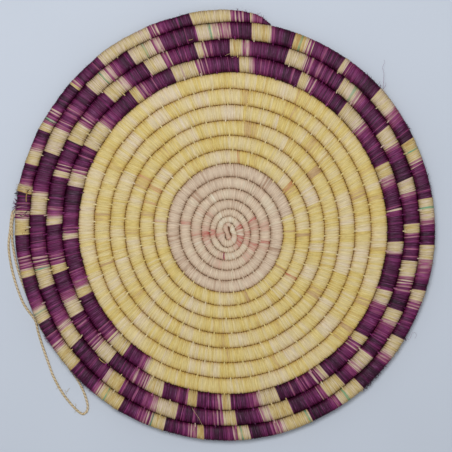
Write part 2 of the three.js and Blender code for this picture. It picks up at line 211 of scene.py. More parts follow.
# Fibres that lie over the rows: places in the picture, how dark and how thick.
LYING_FIBRES = (
    (((97.5, 354), (99.5, 358.5), (104.5, 362.5), (110.5, 366)), 0.04, 0.8),
    (((191.5, 407), (194.5, 411.5), (198.4, 417.2), (202, 425)), 0.1, 0.3),
    (((192.5, 430), (193.6, 427.4), (195.8, 425.3)), 0.1, 0.3),
    (((28, 210), (25, 213), (20, 216)), 0.95, 0.35),
    (((30, 208), (27, 211.5), (25, 215)), 0.98, 0.35),
    (((19, 213.5), (23, 216), (28, 214)), 0.98, 0.35),
    (((27.4, 191), (28.6, 190.2), (29.8, 189)), 0.98, 0.7),
    (((25.2, 230.4), (26.6, 229.4), (28.4, 229.2)), 0.98, 0.6),
    (((22.5, 232.4), (23.8, 234.2), (25, 233.2)), 0.02, 0.6),
    (((27.8, 231.8), (28.6, 233.4), (30, 232.6)), 0.02, 0.6),
    (((16.5, 207), (21, 206.4), (28.5, 207.4)), 0.32, 0.5),
    (((17, 203.4), (22, 203), (29, 203.8)), 0.36, 0.5),
    (((223.3, 252.6), (223, 256), (223.2, 259.4)), 0.44, 0.6),
    (((221.5, 49.5), (226, 53), (231, 56.5)), 0.85, 0.5),
    (((224, 55.5), (230, 53.5), (238, 55.8)), 0.1, 0.35),
    (((231, 57.5), (240, 54.5), (247, 57)), 0.35, 0.4),
    (((188.3, 40.3), (190.5, 40), (192.8, 39)), 0.05, 0.5),
)

# Fibres that stand away from the rim: places in the picture, how dark and how thick.
STANDING_FIBRES = (
    (((382.8, 88), (383.4, 80), (383.8, 71.5), (382.6, 66), (384.4, 62.5), (384.4, 58.5)), 0.5, 0.22),
    (((383.5, 88), (385.5, 84), (385.8, 81.5)), 0.5, 0.2),
    (((380.6, 85.5), (379.4, 82), (379.8, 80)), 0.5, 0.2),
    (((401, 333.5), (405, 336.5), (409, 339.5), (411, 336.5), (412.5, 332.5), (415.5, 332.5), (417, 335),
      (415, 338.5)), 0.42, 0.2),
)

# Fibres that stand away from the twine: places in the picture.
TWINE_FIBRES = (
    ((65.2, 392.5), (66.8, 390), (68, 388.6)), ((65, 394.5), (63.6, 391.5), (63.6, 390.4)),
    ((75.6, 409.5), (74, 411.5), (73.3, 413.6)), ((74, 407.5), (74.4, 405.2), (74, 404)),
    ((57, 386), (55.6, 388.6), (54.6, 389.6)),
)


def linear_colour(code):
    """An sRGB hex colour as the scene's linear RGBA; a colour property is so already."""
    if not isinstance(code, str):
        return code
    channels = [int(code[i : i + 2], 16) / 255 for i in (1, 3, 5)]
    return (*[c / 12.92 if c <= 0.04045 else ((c + 0.055) / 1.055) ** 2.4 for c in channels], 1.0)


def colour_property(name, code, description):
    return bpy.props.FloatVectorProperty(
        name=name, description=description, subtype="COLOR", size=4, min=0, max=1, default=linear_colour(code)
    )


def length_property(name, millimetres, description):
    return bpy.props.FloatProperty(
        name=name, description=description, subtype="DISTANCE", unit="LENGTH", min=0, default=millimetres * MM
    )


class BasketSizes(bpy.types.PropertyGroup):
    wrap_width: length_property("Wrap width", 1.45, "How wide one turn of split raffia lies on the bundle")
    border_wrap_width: length_property(
        "Border wrap width", 1.15, "How wide one turn of the finer border raffia lies"
    )
    wrap_relief: length_property("Wrap relief", 0.3, "How deep the valley between two wraps is")
    stitch_spacing: length_property("Stitch spacing", 13.7, "Distance between stitches along a row")
    stitch_width: length_property("Stitch width", 1.4, "Width of a stitch where it leaves its row")
    twine_diameter: length_property("Twine diameter", 2, "Diameter of the twisted hanging loop")
    twine_lay: length_property("Twine lay", 5.4, "Length in which the two plies turn round each other once")
    hair_diameter: length_property("Loose fibre", 0.22, "Diameter of a loose fibre")


class BasketColours(bpy.types.PropertyGroup):
    natural: colour_property("Natural raffia", "#D0BE92", "Undyed ends of the border's strands")
    plum: colour_property("Plum raffia", "#500C3E", "The border's dyed strands")
    gold: colour_property("Golden raffia", "#DAC684", "The wide field")
    pink: colour_property("Pinkish raffia", "#D2BCA2", "The centre")
    stain: colour_property("Red stain", "#B5544A", "Dye that has run into the centre")
    twine: colour_property("Twine", "#D8C5A0", "The hanging loop")
    grass: colour_property("Grass", "#B59A5E", "The bundle inside the wrapping")
    floor: colour_property("Floor", "#C5CDD9", "The surface it lies on")


def basket():
    return bpy.context.scene.wall_basket_sizes


def colours():
    return bpy.context.scene.wall_basket_colours


def mm(value):
    """A size from the property group in millimetres."""
    return value / MM


# The coil's shape


def mix(a, b, share):
    return a + (b - a) * share


def ripple(x, seed):
    """Smooth irregular noise from -1 to 1 along a length."""
    rng = np.random.default_rng(seed)
    total = np.zeros_like(np.asarray(x, float))
    for rate in (1.0, 1.93, 3.71):
        total += np.sin(x * rate + rng.uniform(0, 2 * math.pi)) / rate
    return total / 1.8


def groove_radius(turn):
    turn = np.asarray(turn, float)
    angle = 2 * math.pi * turn
    share = turn / WHOLE_TURNS
    slow = (ROW_PITCH_FAR - ROW_PITCH_START) * PITCH_GROWTH_TURNS
    mean = FIRST_GROOVE_RADIUS + ROW_PITCH_FAR * turn - slow * (1 - np.exp(-turn / PITCH_GROWTH_TURNS))
    return (
        mean
        + mix(*DRIFT_UP, share) * np.cos(angle)
        + mix(*DRIFT_RIGHT, share) * np.sin(angle)
        + mix(*OVAL, share) * np.cos(2 * angle)
    )


def wobbly_groove(turn):
    """The groove with the small waver of handwork."""
    radius = groove_radius(turn)
    nudge = sum(most * np.exp(-(((turn - at) / spread) ** 2)) for at, most, spread in GROOVE_NUDGES)
    return radius + nudge + 0.34 * ripple(2 * math.pi * turn * radius / 28, 5)


def row_span(turn):
    turn = np.asarray(turn, float)
    groove = wobbly_groove(turn)
    pitch = wobbly_groove(turn + 1) - groove
    last_share = turn - (END_TURN - 1)
    width_share = np.interp(last_share, *zip(*LAST_TURN_WIDTHS))
    outer = groove + pitch * width_share - ROW_GAP / 2
    inner = groove + ROW_GAP / 2
    beside_nothing = turn < START_TURN + 1 - 1 / PLANES_PER_TURN
    first_width = np.interp((turn - START_TURN) * 360, *zip(*FIRST_ROW_WIDTHS))
    return np.where(beside_nothing, np.minimum(inner, outer - first_width), inner), outer


def rim_rise(radius):
    share = np.maximum(0, radius - FLAT_BACK_RADIUS) / (RIM_RADIUS - FLAT_BACK_RADIUS)
    return RIM_RISE * share * share


def row_at(turn):
    """Middle radius, half width, half height and level of the row at a turn."""
    inner, outer = row_span(turn)
    width = outer - inner
    height = np.minimum(ROW_HEIGHT_MOST, width * HEIGHT_TO_WIDTH)
    middle = (inner + outer) / 2
    return middle, width / 2, height / 2, ROW_HEIGHT_MOST / 2 + rim_rise(middle)


def directions(turn):
    """Outward and onward unit vectors at a turn."""
    angle = 2 * math.pi * np.asarray(turn, float)
    zero = np.zeros_like(angle)
    out = np.stack([np.sin(angle), np.cos(angle), zero], -1)
    on = np.stack([np.cos(angle), -np.sin(angle), zero], -1)
    return out, on


class Coil:
    """Lengths along the row's middle line, so that wraps and stitches keep their real spacing."""

    def __init__(self):
        self.turns = np.linspace(START_TURN, END_TURN, 9000)
        middle = row_at(self.turns)[0]
        out, _ = directions(self.turns)
        steps = np.linalg.norm(np.diff(out * middle[:, None], axis=0), axis=1)
        self.lengths = np.concatenate([[0], np.cumsum(steps)])

    def length_at(self, turn):
        return np.interp(turn, self.turns, self.lengths)

    def turn_at(self, length):
        return np.interp(length, self.lengths, self.turns)


COIL = Coil()


# The raffia wraps and their dye


def strand_starts(first, last, shortest, longest, rng):
    """Lengths at which new strands start between two lengths."""
    starts = [first]
    while starts[-1] < last - shortest:
        starts.append(starts[-1] + rng.uniform(shortest, longest))
    return np.array(starts)


def place_of(turn):
    out, _ = directions(turn)
    return out * row_at(turn)[0][:, None]


def near(turn, spots):
    """How much the marks at these spots show at each turn."""
    at = place_of(turn)
    total = np.zeros(len(at))
    for x, y, radius, strength in spots:
        away = np.hypot(at[:, 0] - x, at[:, 1] - y) / radius
        total = np.maximum(total, strength * np.clip(1.3 - away, 0, 1))
    return total


def across_row(turn, spots):
    """As near, for marks that cross the whole row that they lie in."""
    total = np.zeros(len(turn))
    for x, y, half_width, strength in spots:
        at = math.degrees(math.atan2(x, y)) % 360 / 360 + np.arange(WHOLE_TURNS)
        at = at[np.argmin(np.abs(row_at(at)[0] - math.hypot(x, y)))]
        away = np.abs(turn - at) * 2 * math.pi * math.hypot(x, y) / half_width
        total = np.maximum(total, strength * np.clip(1.5 - away, 0, 1))
    return total


def pink_dye(turn, rng):
    length = COIL.length_at(turn)
    starts = strand_starts(length[0] - 20, length[-1], 22, 34, rng)
    which = np.searchsorted(starts, length) - 1
    tone = rng.uniform(0.36, 0.66, len(starts) + 1)[which] + 0.3 * np.clip(1.3 - turn / 2, 0, 1)
    dye = tone + rng.normal(0, 0.13, len(turn)) + 0.1 * ripple(length / 4, 11)
    stain = near(turn, RED_STAINS) * (0.2 + 1.6 * rng.uniform(0, 1, len(turn)) ** 1.1)
    return dye, stain


def gold_dye(turn, rng):
    """Each strand starts yellow, pales along its length, and some end brownish."""
    length = COIL.length_at(turn)
    starts = strand_starts(length[0] - 20, length[-1], 24, 40, rng)
    which = np.searchsorted(starts, length) - 1
    ends = np.append(starts[1:], starts[-1] + 30)
    share = (length - starts[which]) / (ends[which] - starts[which])
    pale_end = rng.uniform(0.58, 0.9, len(starts))[which]
    yellow_start = rng.uniform(0.34, 0.55, len(starts))[which]
    brown_end = np.where(rng.uniform(size=len(starts)) < 0.4, rng.uniform(0.15, 0.5, len(starts)), 0)[which]
    quick = rng.uniform(1, 2.2, len(starts))[which]
    dye = mix(yellow_start, pale_end, np.clip(share * quick - 0.1, 0, 1))
    dye = dye - brown_end * np.clip((share - 0.66) / 0.3, 0, 1)
    middle, spread = PALE_GOLD
    dye = mix(dye, 0.84, 0.6 * np.clip(1.4 - np.abs(turn - middle) / spread, 0, 1))
    dye = dye + rng.normal(0, 0.095, len(turn)) + 0.09 * ripple(length / 3, 13)
    return dye, across_row(turn, RUST_WRAPS)


def border_dye(turn, rng):
    """Each strand starts natural with a sharp edge, and darkens to plum."""
    strands = [(row, *entry) for row, entries in sorted(BORDER_STRANDS.items()) for entry in entries]
    places = np.array([[row + degrees / 360 for degrees in entry[:3]] for row, *entry in strands])
    starts, natural_ends, plum_starts = places.T
    greens = np.array([row + entry[4] / 360 if len(entry) > 4 else -math.inf for row, *entry in strands])
    which = np.maximum(np.searchsorted(starts, turn) - 1, 0)
    ends = np.append(starts[1:], END_TURN + 0.01)[which]
    fade = np.array([entry[3] for _, *entry in strands])[which]

    def per_strand(least, most):
        return rng.uniform(least, most, len(strands))[which]

    def per_wrap(least, most):
        return rng.uniform(least, most, len(turn))

    def share_between(first, last):
        return np.clip((turn - first) / np.maximum(last - first, 1e-4), 0, 1)

    across = share_between(natural_ends[which], plum_starts[which])
    after = share_between(plum_starts[which], ends)
    middle, spread = FADED_BORDER
    faded = np.clip(1.5 - np.abs(turn % 1 - middle) / spread, 0, 1)

    # From magenta to plum along the strand, with some paler threads: threads that took less dye, which also
    # stand for a painted sheen on single threads.
    deep = per_strand(0, 0.15) + np.interp(turn, (12, 13, 13.9, 14.1), (0.64, 0.68, 0.7, 0.77)) - 0.05 * faded
    plum = mix(per_strand(0.46, 0.6), deep, np.clip(after * per_strand(1.1, 2.2), 0, 1) ** 0.8)
    plum = plum + rng.normal(0, 0.085, len(turn)) + 0.05 * ripple(COIL.length_at(turn) / 4, 17)
    paler = rng.uniform(size=len(turn)) < 0.14
    plum = np.where(paler, np.maximum(plum - per_wrap(0.08, 0.3), 0.4), plum)

    # The natural end, and the even fade.
    golden = np.char.isupper(fade)
    fade = np.char.lower(fade)
    natural = per_strand(0.1, 0.2) - 0.055 * golden + rng.normal(0, 0.025, len(turn)) + 0.055 * faded
    fading = (across > 0) & (across < 1)
    wander = rng.normal(0, 1, len(turn)) * np.where(fade == "m", 0.07, 0.15)
    uneven = np.clip(across + np.where(fading, wander, 0), 0, 1)
    dye = mix(natural, plum, uneven)

    # The striped fade, and the one through mauve.
    every_other = np.arange(len(turn)) % 2 + per_wrap(-0.4, 0.4) > 0.5
    pale_stripe = np.where(across < 0.7, every_other, rng.uniform(size=len(turn)) < 0.2)
    stripe = np.where(pale_stripe, per_wrap(0.27, 0.4), per_wrap(0.44, 0.62))
    stripe = mix(natural, stripe, np.clip(across * 3 + 0.3, 0, 1))
    dye = np.where((fade == "s") & fading, stripe, dye)
    mauve = mix(0.27, 0.46, np.clip(uneven * 1.4, 0, 1)) + rng.normal(0, 0.03, len(turn))
    dye = np.where((fade == "m") & fading, mauve, dye)
    off_green = np.abs(turn - greens[which]) * 2 * math.pi * GREEN_RADIUS
    green = np.clip(1.6 - off_green / GREEN_HALF_WIDTH, 0, 1)
    return dye, green


ZONES = (
    ("pink", START_TURN, PINK_END_TURN, pink_dye),
    ("gold", PINK_END_TURN, GOLD_END_TURN, gold_dye),
    ("plum", GOLD_END_TURN, WHOLE_TURNS, border_dye),
)


def zone_cuts(zone):
    """The turns between which each length of wrapping of a colour lies, and the solid it stands for."""
    if zone == "pink":
        cuts = [START_TURN + i for i in range(PINK_PIECES)] + [PINK_END_TURN]
        names = [f"pink_wrap_{i + 1}" for i in range(PINK_PIECES)]
    elif zone == "gold":
        steps = round((GOLD_END_TURN - PINK_END_TURN) * PLANES_PER_TURN)
        shares = [math.floor(steps * i / GOLD_PIECES + 0.5) for i in range(GOLD_PIECES + 1)]
        cuts = [PINK_END_TURN + share / PLANES_PER_TURN for share in shares]
        names = [f"gold_wrap_{i + 1}" for i in range(GOLD_PIECES)]
    else:
        pieces = round((WHOLE_TURNS - GOLD_END_TURN) * PLANES_PER_TURN / BORDER_STEPS)
        cuts = [GOLD_END_TURN + i * BORDER_STEPS / PLANES_PER_TURN for i in range(pieces + 1)]
        names = [f"plum_wrap_{i + 1:02d}" for i in range(pieces)]
        cuts.append(END_TURN)
        names.append("end_binding")
    return list(zip(cuts[:-1], cuts[1:], names))


class Wraps:
    """Every wrap of raffia on the coil: where it starts, how wide and proud it lies, and its dye."""

    def __init__(self, wide, border_wide, rng):
        self.pieces = {}
        self.middles = {}
        self.dyes = {}
        for zone, _, _, dye_of in ZONES:
            edges, owners = [], []
            width = border_wide if zone == "plum" else wide
            for start, end, node in zone_cuts(zone):
                first, last = COIL.length_at(start), COIL.length_at(end)
                count = max(3, round((last - first) / width))
                widths = rng.uniform(0.45, 1.55, count)
                marks = first + np.concatenate([[0], np.cumsum(widths)]) * (last - first) / widths.sum()
                edges.append(marks)
                owners.append(node)
            middles = np.concatenate([(m[1:] + m[:-1]) / 2 for m in edges])
            dye, tint = dye_of(COIL.turn_at(middles), rng)
            lift = rng.uniform(-0.14, 0.14, len(middles))
            starts = np.nonzero(np.diff(dye, prepend=dye[0]) < -0.35)[0]
            for step, rise in enumerate((0.26, 0.2, 0.12, 0.05)):
                lift[np.minimum(starts + step, len(lift) - 1)] += rise
            at = 0
            for node, marks in zip(owners, edges):
                count = len(marks) - 1
                part = slice(at, at + count)
                self.pieces[node] = (marks, lift[part], np.clip(dye[part], 0, 1), np.clip(tint[part], 0, 1))
                at += count
            self.middles[zone] = middles
            self.dyes[zone] = dye

    def dye_at(self, zone, length):
        return float(np.interp(length, self.middles[zone], self.dyes[zone]))


WRAPS = {}


def wraps():
    if "coil" not in WRAPS:
        sizes = basket()
        WRAPS["coil"] = Wraps(mm(sizes.wrap_width), mm(sizes.border_wrap_width), np.random.default_rng(41))
    return WRAPS["coil"]


# Meshes


SECTION_SIDES = 24
SECTION_POWER = 3.9
# How much prouder than its solid a row stands, as its wraps are pressed on it, and the least height of any
# point over the floor.
WRAP_PROUD = 0.36
SKIN_FLOOR = 0.02
# Between the ends of two lengths of wrapping.
SLEEVE_GAP = 0.02


def in_frame(points):
    """Points measured in millimetres from the spiral's middle, as metres in the row frame."""
    return (np.asarray(points, float) + (*SPIRAL_MIDDLE, 0)) * MM


def section_outline(sides):
    """Across and up shares of a rounded section's outline, its last point on its first."""
    angle = np.linspace(0, 2 * math.pi, sides + 1)
    across = np.sign(np.cos(angle)) * np.abs(np.cos(angle)) ** (2 / SECTION_POWER)
    up = np.sign(np.sin(angle)) * np.abs(np.sin(angle)) ** (2 / SECTION_POWER)
    across[-1], up[-1] = across[0], up[0]
    return across, up


def lean_at(places):
    """How far the wraps lean back towards the outside: more on the right of the middle turns."""
    turn = COIL.turn_at(places)
    right = 0.07 * np.sin(2 * math.pi * turn) * np.clip(1.4 - turn / 6, 0, 1)
    slow = 0.06 * ripple(places / 24, 31) + 0.05 * ripple(places / 6, 29)
    return 0.1 + right + slow + 0.05 * ripple(places * 0.9, 37)


def tube_object(name, points, fibre, attributes):
    """A closed tube through rings of points. fibre is each point's place on the raffia in millimetres."""
    rings, columns = points.shape[:2]
    mesh = bpy.data.meshes.new(name)
    shape = bmesh.new()
    bmesh.ops.create_grid(shape, x_segments=columns - 1, y_segments=rings - 1, size=1)
    shape.to_mesh(mesh)
    shape.free()
    mesh.vertices.foreach_set("co", in_frame(points).astype(np.float32).ravel())
    corners = np.empty(len(mesh.loops), np.int32)
    mesh.loops.foreach_get("vertex_index", corners)
    fibre_map = mesh.uv_layers.new(name="fibre")
    fibre_map.data.foreach_set("uv", fibre.reshape(-1, 2)[corners].astype(np.float32).ravel())
    for label, values in attributes.items():
        layer = mesh.attributes.new(label, "FLOAT", "POINT")
        layer.data.foreach_set("value", np.broadcast_to(values, (rings, columns)).astype(np.float32).ravel())
    shape = bmesh.new()
    shape.from_mesh(mesh)
    weld_and_close(shape, mesh, 1e-6)
    return add_piece(name, mesh)


def weld_and_close(shape, mesh, apart):
    """Join the seams of a tube, cap its ends, turn its faces outwards and put it in the mesh."""
    bmesh.ops.remove_doubles(shape, verts=shape.verts, dist=apart)
    edges = [edge for edge in shape.edges if edge.is_boundary]
    bmesh.ops.holes_fill(shape, edges=edges, sides=0)
    bmesh.ops.recalc_face_normals(shape, faces=shape.faces)
    for face in shape.faces:
        face.smooth = True
    shape.to_mesh(mesh)
    shape.free()
    mesh.update()


def add_piece(name, mesh):
    piece = bpy.data.objects.new(name, mesh)
    bpy.context.scene.collection.objects.link(piece)
    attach(piece, "root")
    return piece


def wrap_rings(marks, lift, relief):
    """Three rings a wrap, a valley and two shoulders, and how far each stands in or out. Some wraps lie so
    close together that there is hardly a valley between them."""
    widths = np.diff(marks)
    depth = np.random.default_rng(len(marks)).uniform(0.2, 1.2, len(widths))
    depth[0] = 0.3
    places = np.stack([marks[:-1], marks[:-1] + 0.3 * widths, marks[:-1] + 0.7 * widths], 1).ravel()
    stand = np.stack([-relief * depth, lift, lift], 1).ravel()
    valley = np.stack([depth, 0 * depth, 0 * depth], 1).ravel()
    owner = np.repeat(np.arange(len(widths)), 3)
    places = np.append(places, marks[-1])
    return places, np.append(stand, -0.3 * relief), np.append(valley, 0.3), np.append(owner, len(widths) - 1)


def sleeve_points(middle, half_width, half_height, level, out, on, stand, lean):
    """Rings of a wrapped row in space, leaning back a little towards the outside."""
    across, up = section_outline(SECTION_SIDES)
    x = (half_width + stand)[:, None] * across
    z = level[:, None] + (half_height + stand)[:, None] * up
    z = np.maximum(z, SKIN_FLOOR)
    back = -lean[:, None] * x
    points = middle[:, None, :] + out[:, None, :] * x[..., None] + on[:, None, :] * back[..., None]
    points[..., 2] = z
    return points


def wrapped_tube(name, rings, shape_of, dye, tint, finish, dyed_shade=0.0):
    """A tube wound in raffia. rings is what wrap_rings gives, and shape_of gives the middle, half width, half
    height, level and directions. The last argument is how much deeper the painted shade in the grooves and
    valleys grows with the dye."""
    places, stand, valley, owner = rings
    middle, half_width, half_height, level, out, on = shape_of(places)
    stand = stand + WRAP_PROUD
    points = sleeve_points(middle, half_width, half_height, level, out, on, stand, lean_at(places))
    across, _ = section_outline(SECTION_SIDES)
    round_way = np.linspace(0, 1, SECTION_SIDES + 1)[None, :] * (half_width + half_height)[:, None] * 3.3
    fibre = np.stack([np.broadcast_to(places[:, None], round_way.shape), round_way], -1)
    aside = np.abs(across)[None, :]
    # Painted shade: darker towards the row's sides, as a round row is shaded, darkest in the groove, and in
    # the valleys between wraps; deeper where the raffia is dyed.
    dark = dyed_shade * np.clip(dye[owner] / 0.5, 0, 1)[:, None]
    groove = (0.24 + 0.2 * dark) * np.clip((aside - 0.3) / 0.6, 0, 1) + np.clip((aside - 0.94) / 0.06, 0, 0.4)
    valley_shade = (0.15 + 0.4 * dark + 0.4 * aside**2) * valley[:, None]
    attributes = {
        "dye": dye[owner][:, None],
        "tint": tint[owner][:, None],
        "grime": np.clip(valley_shade + groove, 0, 1),
    }
    piece = tube_object(name, points, fibre, attributes)
    piece.data.materials.append(finish)
    return piece


def coil_shape(places):
    turn = COIL.turn_at(places)
    middle, half_width, half_height, level = row_at(turn)
    out, on = directions(turn)
    return out * middle[:, None], half_width, half_height, level, out, on


def coil_sleeve(name, node, finish, dyed_shade):
    """One length of raffia wrapping on the coil, which stands for one solid."""
    marks, lift, dye, tint = wraps().pieces[node]
    rings = wrap_rings(marks, lift, mm(basket().wrap_relief))
    places = rings[0]
    places[0] += SLEEVE_GAP / 2
    places[-1] -= SLEEVE_GAP / 2
    piece = wrapped_tube(name, rings, coil_shape, dye, tint, finish, dyed_shade)
    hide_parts(node)
    return piece


# The folded start, from the row's first face round to its tip: points on the slit side and on the far side.
FOLD_NEAR = (
    (1.2, 2.1), (0.75, 3.0), (0.25, 3.4), (-0.1, 3.1), (0, 2.1), (0.35, 0.9), (0.8, -0.3), (1.3, -1.5),
    (1.95, -2.7), (2.7, -3.9), (3, -5.2),
)
FOLD_FAR = (
    (3.15, 5.5), (1.4, 6.5), (-0.9, 6.4), (-2.9, 5.2), (-3.8, 3.4), (-3.6, 1.5), (-2.6, -0.4), (-2.1, -1.6),
    (-2, -3.2), (-1.8, -4.6), (-0.9, -5.8), (0.9, -6.6),
)
FOLD_WRAPS = 17
FOLD_LENGTH = 17.5


def fold_shape(places):
    """The folded start, spread between its two edges."""
    share = places / places[-1]
    count = 200
    edges = []
    for corners in (FOLD_NEAR, FOLD_FAR):
        edge, _ = smooth_path([(*corner, 0) for corner in corners], count)
        at = share * (count - 1)
        edges.append(np.stack([np.interp(at, np.arange(count), edge[:, axis]) for axis in range(3)], -1))
    near_at, far_at = edges
    span = far_at - near_at
    half_width = np.linalg.norm(span, axis=1) / 2 - 0.42
    out = unit(span)
    on = np.stack([out[:, 1], -out[:, 0], 0 * out[:, 0]], -1)
    closing = np.clip((1 - share) / 0.08, 0, 1) ** 0.5
    half_height = 2.0 * (0.7 + 0.3 * closing)
    level = np.full(len(places), ROW_HEIGHT_MOST / 2)
    return (near_at + far_at) / 2, half_width, half_height, level, out, on


# Materials


def add_node(tree, kind, inputs=None, **settings):
    """A shader node with its settings, and its inputs as values or as sockets to link."""
    made = tree.nodes.new(kind)
    for label, value in settings.items():
        setattr(made, label, value)
    for socket, value in (inputs or {}).items():
        if isinstance(value, bpy.types.NodeSocket):
            tree.links.new(value, made.inputs[socket])
        else:
            made.inputs[socket].default_value = value
    return made


def attribute(tree, name):
    return add_node(tree, "ShaderNodeAttribute", attribute_name=name).outputs["Fac"]


def maths(tree, operation, *values):
    return add_node(tree, "ShaderNodeMath", dict(enumerate(values)), operation=operation).outputs[0]


def remap(tree, value, low, high, to_low, to_high):
    """A value taken from one range to another, and held within it."""
    inputs = {"Value": value, "From Min": low, "From Max": high, "To Min": to_low, "To Max": to_high}
    return add_node(tree, "ShaderNodeMapRange", inputs).outputs[0]


def noise(tree, place, scale, detail, roughness=0.5):
    inputs = {"Vector": place, "Scale": scale, "Detail": detail, "Roughness": roughness}
    return add_node(tree, "ShaderNodeTexNoise", inputs).outputs["Fac"]


def blended(tree, share, under, over, blend="MIX"):
    inputs = {"Factor": share, 6: under, 7: over}
    return add_node(tree, "ShaderNodeMix", inputs, data_type="RGBA", blend_type=blend).outputs[2]


def bumped(tree, height, strength, distance):
    inputs = {"Strength": strength, "Distance": distance, "Height": height}
    return add_node(tree, "ShaderNodeBump", inputs).outputs["Normal"]


def add_surface(tree, inputs):
    surface = add_node(tree, "ShaderNodeBsdfPrincipled", inputs)
    add_node(tree, "ShaderNodeOutputMaterial", {"Surface": surface.outputs[0]})


def new_material(name):
    material = bpy.data.materials.new(name)
    material.use_nodes = True
    material.node_tree.nodes.clear()
    return material, material.node_tree


def dye_ramp(tree, position, stops):
    ramp = add_node(tree, "ShaderNodeValToRGB", {"Fac": position})
    elements = ramp.color_ramp.elements
    while len(elements) < len(stops):
        elements.new(0.5)
    for element, (at, colour) in zip(elements, stops):
        element.position = at
        element.color = linear_colour(colour)
    return ramp.outputs["Color"]


def shade(colour, factor):
    """A colour made lighter or darker, for a stop of a ramp."""
    return (*[min(1.0, c * factor) for c in colour[:3]], 1.0)


def wrapped_raffia(
    name, stops, tint_colour, dirt_and_shade_colour, sheen_colour, roughness, gloss, unevenness=0.2,
    shine=(0.52, 0.75, 0.4), darkest=0.78, grain=(1.4, 0.26), even_below=-0.2,
):
    """Split raffia, wound dry: a flat palm fibre with a dull satin gloss. The eye sees fine straight fibres
    along every wrap, some of them pale with a painted sheen, dye that took unevenly, and painted shade, with
    some dirt, in the grooves and valleys."""
    material, tree = new_material(name)
    fibre = add_node(tree, "ShaderNodeUVMap", uv_map="fibre").outputs["UV"]
    # Fibres are about 0.2 mm wide. They are drawn 0.7 mm wide and 4 mm long, so that they show.
    along = add_node(tree, "ShaderNodeMapping", {"Vector": fibre, "Scale": (*grain, 1)}).outputs[0]
    streak = noise(tree, along, 1.0, 3.0, 0.6)
    # Dye took in patches some 2 mm by 6 mm.
    patches = add_node(tree, "ShaderNodeMapping", {"Vector": fibre, "Scale": (0.5, 0.16, 1)}).outputs[0]
    patch = noise(tree, patches, 1.0, 1.0)
    dye = attribute(tree, "dye")
    uneven = maths(tree, "ADD", streak, patch)
    shifted = maths(tree, "MULTIPLY_ADD", uneven, unevenness, dye)
    centred = maths(tree, "SUBTRACT", shifted, unevenness)
    colour = dye_ramp(tree, centred, stops)
    soaked = remap(tree, streak, 0.38, 0.58, 0.2, 1.0)
    tinted = maths(tree, "MULTIPLY", attribute(tree, "tint"), soaked)
    colour = blended(tree, tinted, colour, linear_colour(tint_colour))
    # Painted sheen: pale highlights screened onto the brightest fibres, on the crown of a row, away from the
    # painted shade.
    grime = attribute(tree, "grime")
    painted_sheen = remap(tree, streak, shine[0], shine[1], 0.0, shine[2])
    crown_sheen = maths(tree, "MULTIPLY", painted_sheen, remap(tree, grime, 0.0, 0.4, 1.0, 0.3))
    colour = blended(tree, crown_sheen, colour, linear_colour(sheen_colour), "SCREEN")
    # Undyed raffia is more even than dyed.
    light = remap(tree, streak, 0.3, 0.65, darkest, 1.06)
    depth = remap(tree, dye, even_below - 0.01, even_below + 0.12, 0.3, 1.0)
    colour = blended(tree, depth, colour, light, "MULTIPLY")
    # Painted shade in the grooves, the valleys and the twine's hollows, and some dirt, multiplied into the
    # colour.
    colour = blended(tree, grime, colour, linear_colour(dirt_and_shade_colour), "MULTIPLY")
    rough = remap(tree, streak, 0.0, 1.0, roughness - 0.1, roughness + 0.1)
    bump = bumped(tree, streak, 0.5, 0.00015)
    inputs = {"Base Color": colour, "Roughness": rough, "Normal": bump}
    add_surface(tree, inputs | {"IOR": 1.5, "Specular IOR Level": gloss})
    return material


def pink_raffia():
    """Undyed raffia that has taken a pinkish cast from the plum strands washed beside it."""
    base = colours().pink
    stops = ((0, "#B59479"), (0.35, base), (0.6, shade(base, 1.06)), (0.85, "#DAC9AD"), (1, "#DFD2BA"))
    return wrapped_raffia("pinkish split raffia", stops, colours().stain, "#A8764F", "#8C8278", 0.6, 0.35)


def gold_raffia():
    """Raffia dyed a soft yellow, which has faded along each strand and browned at its end."""
    stops = (
        (0, "#B8966A"), (0.2, "#C8AA74"), (0.36, "#D5BD6C"), (0.55, colours().gold), (0.78, "#DBC99B"),
        (1, "#DCCBAE"),
    )
    return wrapped_raffia("golden split raffia", stops, "#B4583F", "#D2A650", "#8C8268", 0.6, 0.35)


def plum_raffia():
    """Raffia dip-dyed plum up to part of its length: natural, then pink-lilac, magenta and deep plum."""
    stops = (
        (0, "#BA985A"), (0.09, "#CEB878"), (0.16, colours().natural), (0.24, "#D6C4AA"), (0.3, "#BE9A94"),
        (0.38, "#A4567C"), (0.48, "#862A6A"), (0.6, "#6A1854"), (0.76, colours().plum), (1, "#2C0420"),
    )
    return wrapped_raffia(
        "plum dipped raffia", stops, "#4E9F78", "#8A5A3A", "#A07AA0", 0.5, 0.16,
        unevenness=0.24, shine=(0.5, 0.74, 0.36), darkest=0.42, grain=(1.7, 0.3), even_below=0.3,
    )


def twine_raffia():
    """Raffia fibres twisted by hand into two-ply twine: dull, with fine fibres along each ply and painted
    shade in the hollows between the plies."""
    base = colours().twine
    stops = ((0, shade(base, 0.78)), (0.5, base), (1, "#DECDB2"))
    return wrapped_raffia("twisted raffia twine", stops, "#B98F4A", "#A98C66", "#8C8478", 0.7, 0.3)


def dry_grass():
    """Dry grass stems laid side by side, dull, with the slight gloss along each stem painted into the colour
    as fine long lighter and darker lines. It is inside the wrapping and shows nowhere."""
    material, tree = new_material("dry grass stems")
    place = add_node(tree, "ShaderNodeTexCoord").outputs["Object"]
    # Stems about 1.5 mm thick.
    stems = noise(tree, place, 650.0, 2.0)
    base = colours().grass
    # Painted sheen: the stems' gloss as lighter and darker lines in the colour.
    colour = dye_ramp(tree, stems, ((0.3, shade(base, 0.6)), (0.7, shade(base, 1.1))))
    add_surface(tree, {"Base Color": colour, "Roughness": 0.75, "Normal": bumped(tree, stems, 0.6, 0.0004)})
    return material


